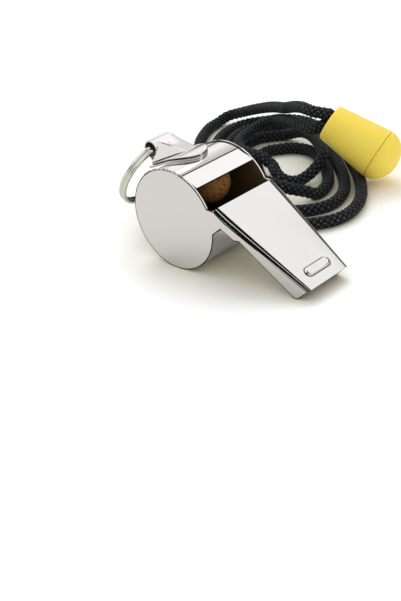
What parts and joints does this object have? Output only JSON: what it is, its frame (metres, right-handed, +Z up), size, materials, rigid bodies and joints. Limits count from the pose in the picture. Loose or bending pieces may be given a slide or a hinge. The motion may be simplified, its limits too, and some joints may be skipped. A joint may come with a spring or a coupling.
{
  "type": "sports whistle",
  "caption": "Pea whistle of folded sheet metal with a cork pea, a bail, a split ring and a black cord lanyard that ends in a bell.",
  "frame": {"origin": "On the surface that the whistle rests on, under the middle of the whistle and its split ring", "axes": "+X from the split ring to the mouthpiece's tip, +Y along the drum's axis, +Z up"},
  "size_m": [0.0859, 0.083, 0.0252],
  "materials": {
    "sheet": "polished",
    "bail": "polished",
    "wire": "polished",
    "cork": "natural",
    "cord": "braided",
    "yellow": "matte"
  },
  "bodies": {
    "whistle": {"side_plate_left": "sheet", "side_plate_right": "sheet", "drum_band": "sheet", "mouthpiece_cover": "sheet", "windway_floor": "sheet", "bail": "bail", "lanyard_arc": "cord", "lanyard_loops": "cord", "lanyard_end": "cord", "cord_knot": "cord", "cord_end_bell": "yellow"},
    "ring": {"split_ring": "wire"},
    "pea": {"cork_pea": "cork"},
    "lid": {"cord_end_lid": "yellow"}
  },
  "joints": [
    {"name": "ring_swing", "type": "hinge", "parent": "whistle", "child": "ring", "pos_m": [-0.01792, 0, 0.02325], "axis": [0, 1, 0], "range_deg": [-18, 220], "deforming": ["lanyard_arc"]},
    {"name": "pea_roll", "type": "hinge", "parent": "whistle", "child": "pea", "pos_m": [-0.00677, 0, 0.0115], "axis": [0, 1, 0], "continuous": true},
    {"name": "lid_pull", "type": "slide", "parent": "whistle", "child": "lid", "axis": [0.8219, 0.2403, -0.5165], "range_m": [0, 0.005]}
  ]
}
